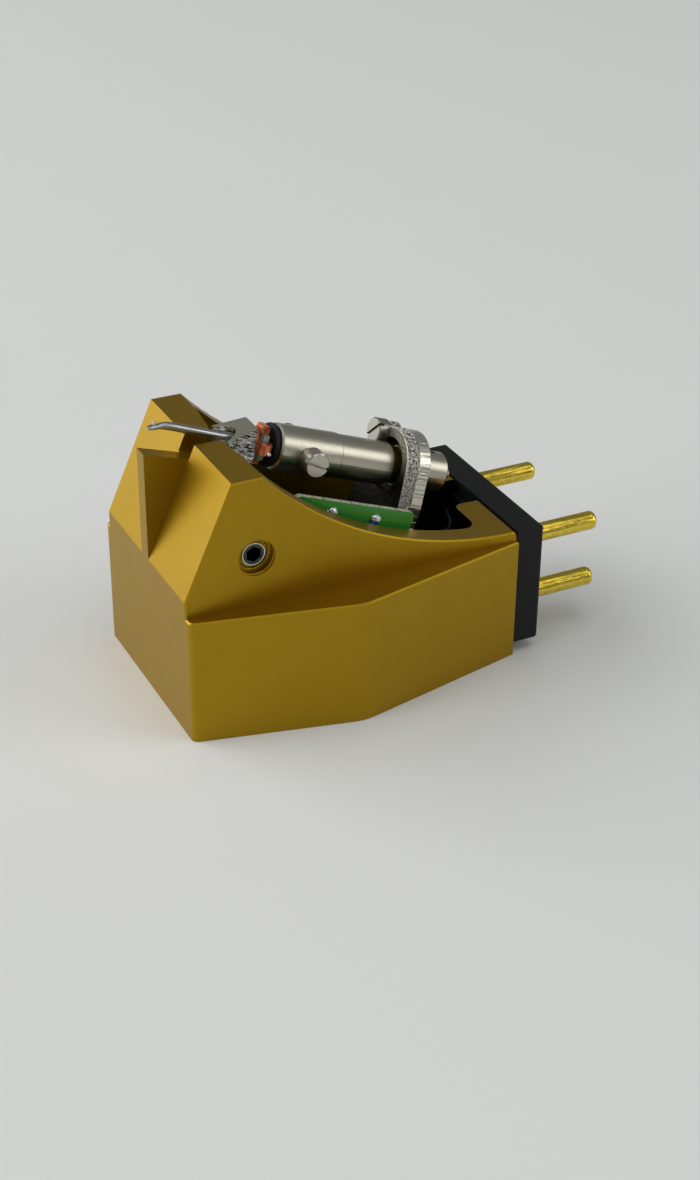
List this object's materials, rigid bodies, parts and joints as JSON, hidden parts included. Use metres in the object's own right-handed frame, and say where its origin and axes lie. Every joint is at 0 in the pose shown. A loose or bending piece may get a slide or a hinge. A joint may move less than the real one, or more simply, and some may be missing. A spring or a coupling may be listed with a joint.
{
  "type": "moving coil phono cartridge",
  "caption": "Moving coil phono cartridge with a scooped metal body, an open tilted generator, a bent cantilever with a stylus, and rear signal pins.",
  "frame": {"origin": "on the mounting face, midway between the axes of the two mounting screws", "axes": "+X to the right seen from behind the pins, +Y from the stylus back to the pins, +Z out of the mounting face towards the stylus tip"},
  "size_m": [0.0188, 0.0302, 0.0186],
  "materials": {
    "gold_anodised": "bead-blasted, gold anodised, satin",
    "black_plastic": "matte black moulded plastic",
    "gold_plated_pin": "turned brass, gold plated",
    "dark_steel": "hardened steel, oiled black",
    "pole_iron": "soft iron, filed and nickel flashed",
    "magnet_alloy": "ground sintered magnet",
    "bracket_nickel": "cast soft iron, nickel plated",
    "sleeve_nickel": "turned soft iron, nickel plated, satin",
    "brass": "turned brass",
    "copper": "crimped copper",
    "steel_wire": "drawn steel wire",
    "screw_nickel": "turned and slotted, nickel plated",
    "damper_rubber": "butyl rubber",
    "former_iron": "pressed soft iron plate",
    "coil_copper": "enamelled copper wire",
    "cantilever_alloy": "drawn aluminium alloy tube",
    "diamond": "polished diamond",
    "board_green": "glass epoxy with green solder mask",
    "solder": "tin solder",
    "lead_blue": "insulated litz wire",
    "lead_white": "insulated litz wire",
    "lead_red": "insulated litz wire",
    "lead_green": "insulated litz wire"
  },
  "bodies": {
    "root": {"housing": "gold_anodised", "terminal_block": "black_plastic", "pin_left_signal": "gold_plated_pin", "pin_left_ground": "gold_plated_pin", "pin_right_signal": "gold_plated_pin", "pin_right_ground": "gold_plated_pin", "grub_screw_right": "dark_steel", "grub_screw_left": "dark_steel", "front_pole": "pole_iron", "magnet": "magnet_alloy", "generator_bracket": "bracket_nickel", "front_sleeve": "sleeve_nickel", "rear_sleeve": "sleeve_nickel", "brass_collar": "brass", "rear_core": "sleeve_nickel", "wire_anchor": "copper", "tie_wire": "steel_wire", "sleeve_screw_right": "screw_nickel", "sleeve_screw_left": "screw_nickel", "clamp_screw": "screw_nickel", "circuit_board": "board_green", "solder_joints": "solder", "lead_left_signal": "lead_blue", "lead_left_ground": "lead_white", "lead_right_signal": "lead_red", "lead_right_ground": "lead_green"},
    "suspension": {"damper": "damper_rubber"},
    "moving_system": {"coil_former": "former_iron", "coil_left": "coil_copper", "coil_right": "coil_copper", "cantilever": "cantilever_alloy", "stylus": "diamond"}
  },
  "joints": [
    {"name": "lateral_hinge", "type": "hinge", "parent": "root", "child": "suspension", "pos_m": [0, -0.00223, 0.01542], "axis": [0, 0.3502, 0.9367], "range_deg": [-2, 2], "stiffness_Nm_per_rad": 0.00375},
    {"name": "vertical_hinge", "type": "hinge", "parent": "suspension", "child": "moving_system", "pos_m": [0, -0.00223, 0.01542], "axis": [1, 0, 0], "range_deg": [-2.5, 2.5], "stiffness_Nm_per_rad": 0.00375}
  ]
}
